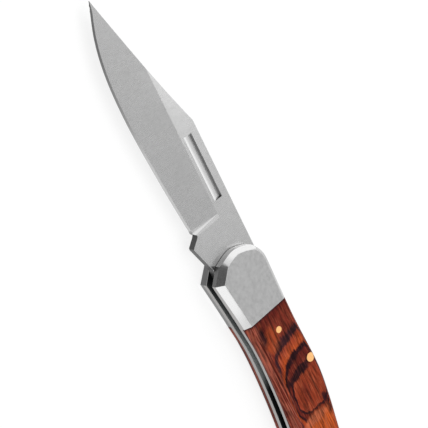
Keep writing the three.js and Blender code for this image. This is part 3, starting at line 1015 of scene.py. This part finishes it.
# %% [markdown]
# ## Pins
#
# The pins were peened and sanded flush, so a head follows the wood even where that rolls over towards the
# back. A flat end would stand proud there, so each point of the head is dropped onto the cover from above.

# %% Places and sizes of the pins
pin_gap = 0.05
spring_pin_radius = 1.3
scale_pin_radius = 0.93
pins = {
    "spring_pin_middle": ((26.5, 7.65), spring_pin_radius),
    "spring_pin_tail": ((84.5, -1.6), spring_pin_radius),
    "scale_pin_front": ((13.4, 2.55), scale_pin_radius),
    "scale_pin_rear": ((73.5, -4.6), scale_pin_radius),
}
pin_holes = [(place, radius + pin_gap) for place, radius in pins.values()]
HIGH_ABOVE = 50


def face_height(x, y):
    return cover_surface.ray_cast(Vector((x, y, HIGH_ABOVE)), Vector((0, 0, -1)))[0].z


# %% Pins
# Rings of a head: their share of the radius, and how far below the cover they lie
head_steps = [(1.0, 0.03), (0.97, 0), (0.75, 0), (0.5, 0), (0.25, 0)]


def head_rings(place, radius):
    return [
        [(x, y, face_height(x, y) - drop) for x, y in circle(place, radius * share)]
        for share, drop in head_steps
    ]


def through_pin(place, radius):
    head = head_rings(place, radius)
    foot = [[(x, y, -z) for x, y, z in ring] for ring in reversed(head)]
    return solid_from_rings(foot + head)


def short_pin(place, radius):
    head = head_rings(place, radius)
    foot = [(x, y, slot_half) for x, y, z in head[0]]
    return solid_from_rings([foot] + head)


def make_pins():
    for name, (place, radius) in pins.items():
        if name.startswith("spring_pin"):
            parts = {name: through_pin(place, radius)}
        else:
            parts = {f"{name}_{side}": mesh for side, mesh in both_sides(short_pin(place, radius))}
        for part, mesh in parts.items():
            finish_piece(as_object(mesh, "flush_" + part), pin_brass, part)


make_pins()

# %% [markdown]
# ## Scales
#
# The scales are the rest of the cover, behind the joint, with a hole for each pin. The holes are a hair
# wider than the pins, so a fine dark ring shows round the brass.


# %% Scales
def make_scales():
    for side, wood in woods.items():
        name = "scale_" + side
        made = as_object(cut_side(side, scale_front, keep_front=False), "wood_" + name)
        drill(made, pin_holes)
        finish_piece(made, wood, name, crease=20)


make_scales()

# %% [markdown]
# ## Liners
#
# Two thin plates of nickel silver leave the slot for the blade between them. Their edges are ground flush
# with the bolsters and the wood and show as two bright lines. Only the edge along the slot is eased,
# because the outer one lies against the cover.

# %% Liners
liner_easing = 0.1


def liner_blank():
    mesh = plate(outline, slot_half, liner_outer)
    ease(mesh, [
        edge for edge in mesh.edges
        if all(abs(vert.co.z - slot_half) < 1e-4 for vert in edge.verts)
    ], liner_easing)
    return mesh


def is_level(x, y, normal):
    return abs(normal.z) > 0.99


def make_liners():
    for side, mesh in both_sides(liner_blank()):
        name = "liner_" + side
        made = as_object(mesh, "ground_" + name)
        drill(made, pin_holes)
        finish_piece(made, liner_metal, name)
        # Front walls painted lighter, chin walls painted dark as shade, inside faces painted light and
        # shade
        repaint(made, (front_wall_light_steel, is_front_wall), (milled_shade_steel, is_chin_wall), (dull_shaded_liner, is_level))


make_liners()

# %% [markdown]
# ## Back spring
#
# The spring closes the slot along the back, presses on the tang and, at the butt, keeps the liners apart.
# The handle's outline trims its upper side, and its underside is a line with rounded corners.

# %% Back spring
spring_front_x = spring_low.x / MM
tang_reach = 4.6
spring_gap = 0.1
spring_depth = 3.1
tail_depth = 5.5
closed_angle = frame["joints"][0]["range_deg"][1]
kick = (-19.3, -7.7)
kick_clearance = 0.3
kick_pad = 4
tail_x = 78
tail_ramp = 5
boss_length = 5
boss_wall = 1.2
past_butt = 110
wide_corner = 3
tight_corner = 1.5


def turned(place, degrees):
    return Matrix.Rotation(math.radians(degrees), 2) @ Vector(place)


def spring_outline():
    """It reaches past the back and the butt of the handle, whose outline trims it."""
    back_line = smooth_line([*butt[-2:], *back, (back_straight_x, back_height)], 0.5)
    bears_on = tang_reach + spring_gap
    closed_kick = turned(kick, closed_angle)
    pad_height = closed_kick.y + kick_clearance
    pad_start = closed_kick.x - kick_pad / 2
    (pin_x, pin_y), pin_radius = pins["spring_pin_middle"]
    boss_low = pin_y - pin_radius - boss_wall
    tail_pin_y = pins["spring_pin_tail"][0][1]
    arm = [pin_x + (tail_x - pin_x) * part for part in (0.25, 0.5, 0.75)]
    return rounded_outline([
        (spring_front_x, back_height + 1),
        (spring_front_x, bears_on, spring_gap),
        (pad_start - kick_pad, bears_on, wide_corner),
        (pad_start, pad_height, tight_corner),
        (pad_start + kick_pad, pad_height, tight_corner),
        (pin_x - boss_length / 2, boss_low, tight_corner),
        (pin_x + boss_length / 2, boss_low),
        *[(x, height_on(back_line, x) - spring_depth) for x in arm],
        (tail_x, height_on(back_line, tail_x) - spring_depth, wide_corner),
        (tail_x + tail_ramp, tail_pin_y - tail_depth / 2, wide_corner),
        (past_butt, tail_pin_y - tail_depth),
        (past_butt, back_height + 1),
    ])


def make_back_spring():
    made = as_object(plate(spring_outline(), -slot_half, slot_half), "ground_back_spring")
    cut(made, as_object(plate(outline, -slot_half - 1, slot_half + 1), "handle_profile"), "INTERSECT")
    drill(made, pin_holes[:2])
    finish_piece(made, spring_steel, "back_spring")


make_back_spring()

# %% [markdown]
# ## Blade
#
# A blade is punched from sheet, ground on both sides and nicked for the thumbnail, and so is this one. The
# blank is a plate with eased edges. Two grinding solids leave the flat grind, the cutting edge and the
# round fillet where the wheel stopped, and a third cutter takes out the nick.

# %% Blade blank
tip = (-89.0, -1.8)
clip_start = (-47.9, 9.25)
clip_hollow = (-68.0, 2.6)
heel = (-23.1, -5.95)
edge_points = [(-40.0, -7.2), (-57.0, -7.9), (-70.0, -7.35), (-80.0, -5.4)]
heel_end = (-22.4, -5.35)
choil = (-21.7, -4.8)
kick_front = (-21.1, -5.4)
tang_underside = (-11.2, -5.25)
shoulder_x = -7.0
tang_corner = 3.0
# The blank is this much too deep below the edge, up to the heel, and the wheel takes it off
edge_allowance = 0.5
allowance_from_x = -24.3
rim_easing = 0.12
tang_hole_radius = 2.08


def blade_outline():
    reach = tang_reach
    under_front = turned((reach + 1, reach), -closed_angle)
    under_rear = (reach, -reach * math.tan(math.radians(closed_angle - 90) / 2))
    ground = smooth_line([heel, *edge_points, tip], 1)
    beside_heel = [point for point in ground if allowance_from_x + 0.2 < point.x < heel[0]]
    below_edge = [Vector((x, y - edge_allowance)) for x, y in ground if x < allowance_from_x - 0.2]
    clip = bent_line(clip_start, clip_hollow, tip, 40)
    around_tang = rounded_outline([
        (clip_start[0] + 1, back_height), (shoulder_x, back_height), (shoulder_x, reach, 0.5),
        (reach, reach, tang_corner), (*under_rear, tang_corner), (*under_front,), tang_underside,
        (*kick, 0.8), (*kick_front, 0.3), (*choil, 0.2), heel_end, heel,
    ])
    return around_tang + beside_heel + below_edge + clip[::-1]


def blade_blank():
    mesh = plate(blade_outline(), -blade_half, blade_half)
    level = [edge for edge in mesh.edges if abs(edge.verts[0].co.z - edge.verts[1].co.z) < 1e-6]
    ease(mesh, level, rim_easing, clamp_overlap=True)
    return as_object(mesh, "satin_blade")


# %% Grinding
grind_line_y = 3.5
edge_shoulder = 0.2
edge_bevel_height = 0.6
plunge_x = -22.9
full_depth = 0.9
# Where the wheel lifts out at the heel: millimetres past the plunge line, and share of the depth
plunge_curve = [(-0.9, 0), (-0.6, 0.02), (-0.3, 0.08), (0, 0.18), (0.15, 0.3), (0.75, 1.0), (1.35, 1.7)]
tip_taper = 12.0
tip_share = 0.8
clear = 2.0
thinnest_tip = 0.15
stations = 90
first_station = plunge_x - 2.4

edge_line = smooth_line([heel, *edge_points, tip], 0.5)
clip_line = bent_line(clip_start, clip_hollow, tip, 60)


def grind_section(x):
    """Points across the wheel at x: two above the blade, then the ground face from below up to the back."""
    edge = height_on(edge_line, x) if x < heel[0] else heel[1]
    back_here = height_on(clip_line, x) if x < clip_start[0] else back_height
    bevel = min(edge_bevel_height, max(back_here - edge, thinnest_tip) / 3)
    shoulder = edge + bevel
    slope = (blade_half - edge_shoulder) / (grind_line_y - shoulder)
    taper = 1 - (1 - tip_share) * (1 - smooth_share(x - tip[0], 0, tip_taper))
    out = blade_half + clear
    return [
        (x, grind_line_y + clear, out),
        (x, edge - clear, out),
        (x, edge - clear, -edge_shoulder * taper * clear / bevel),
        (x, shoulder, edge_shoulder * taper),
        (x, grind_line_y, blade_half * taper),
        (x, grind_line_y + clear, (blade_half + slope * clear) * taper),
    ]


def lifting_section(past, lifted):
    section = []
    for x, y, z in grind_section(plunge_x):
        depth = max(blade_half - z, 0.02)
        if z > blade_half + clear - 0.01:
            section.append((plunge_x + past * 0.1, y, z + 2 * clear))
        else:
            section.append((plunge_x + past * depth / full_depth, y, z + lifted * depth))
    return section


def grinding_solid():
    sections = [lifting_section(past, lifted) for past, lifted in reversed(plunge_curve)]
    for k in range(stations + 1):
        sections.append(grind_section(first_station + (tip[0] - first_station) * k / stations))
    sections.append([(tip[0] - 3, y, z) for x, y, z in sections[-1]])
    return solid_from_rings(sections)


# %% Nail nick
nick_front, nick_rear = -45.6, -26.1
nick_top, nick_bottom = 7.05, 4.45
nick_depth = 0.6
nick_wall_lean = 0.3
nick_front_lean = 0.4
nick_entry = 1.8


def nick_cutter():
    outside = blade_half + 1
    floor_level = blade_half - nick_depth
    floor_end = (nick_top - nick_wall_lean, floor_level)
    hollow = bent_line((nick_bottom, blade_half), (nick_bottom + nick_entry, floor_level), floor_end, 12)
    section = [
        (nick_top, blade_half), (nick_top, outside), (nick_bottom - 2 * nick_entry, outside), *hollow,
    ]
    front_ring = []
    for y, z in section:
        depth = max(blade_half - z, 0)
        front_ring.append((nick_front + nick_front_lean * depth / nick_depth, y, z))
    return solid_from_rings([front_ring, [(nick_rear, y, z) for y, z in section]])


# %% Grind and finish the blade
# Where the painted highlight behind the plunge line ends
highlight_strip_end = -21.7
STEEP = 0.55


# Walls of the tang, painted dark as shade
def is_punched(x, y, normal):
    return abs(normal.z) < STEEP and x > heel[0] and y < back_height - 0.5


# The wall of the nail nick, painted dark as shade
def is_nick_wall(x, y, normal):
    in_nick = nick_front - 0.1 < x < nick_rear + 0.1 and nick_bottom < y < nick_top + 0.1
    return abs(normal.z) < STEEP and in_nick


# Steep walls of the choil, between heel and kick, painted nearly black as shade
def is_choil_shade(x, y, normal):
    return abs(normal.z) < STEEP and heel[0] < x < kick[0] and normal.x < 0.5 and y < 0


def is_plunge_highlight(x, y, normal):
    return 0.5 < abs(normal.z) and plunge_x < x < highlight_strip_end and heel[1] < y < grind_line_y


# Floor of the nail nick, which carries the painted highlight
def is_nick_floor(x, y, normal):
    return STEEP < abs(normal.z) < 0.9995 and nick_front < x < nick_rear and nick_bottom < y < nick_top


# Faces of the edge bevel, which carry the painted reflection
def is_honed(x, y, normal):
    beside_edge = x < heel[0] and y < height_on(edge_line, x) + edge_bevel_height + 0.05
    return beside_edge and 0.5 < abs(normal.z) < 0.985


def make_blade():
    made = blade_blank()
    wheel = grinding_solid()
    cut(made, as_object(mirrored(wheel), "far_wheel"))
    cut(made, as_object(wheel, "near_wheel"))
    cut(made, as_object(nick_cutter(), "nick_cutter"))
    drill(made, [((0, 0), tang_hole_radius)], reach=5)
    # Faces are split where a finish ends inside them
    rework(made, split, (highlight_strip_end, 0, 0), (1, 0, 0))
    rework(made, split, (0, grind_line_y, 0), (0, 1, 0))
    finish_piece(made, blade_steel, "blade", "blade", crease=3.2)
    repaint(
        made, (milled_shade_steel, is_punched), (dull_shade_steel, is_nick_wall), (choil_shade_steel, is_choil_shade),
        (plunge_highlight_steel, is_plunge_highlight), (nick_highlight_steel, is_nick_floor), (honed_reflection_steel, is_honed),
    )


make_blade()

# %% [markdown]
# ## Pieces inside
#
# The pivot pin and the rivets that hold the bolsters are seated inside. Their CAD solids stay as they are
# and only get their finish.

# %% Hidden pieces
for name, made in nodes.items():
    if name.startswith(("pivot_pin", "bolster_rivet")):
        made.data.materials.clear()
        made.data.materials.append(spring_steel)
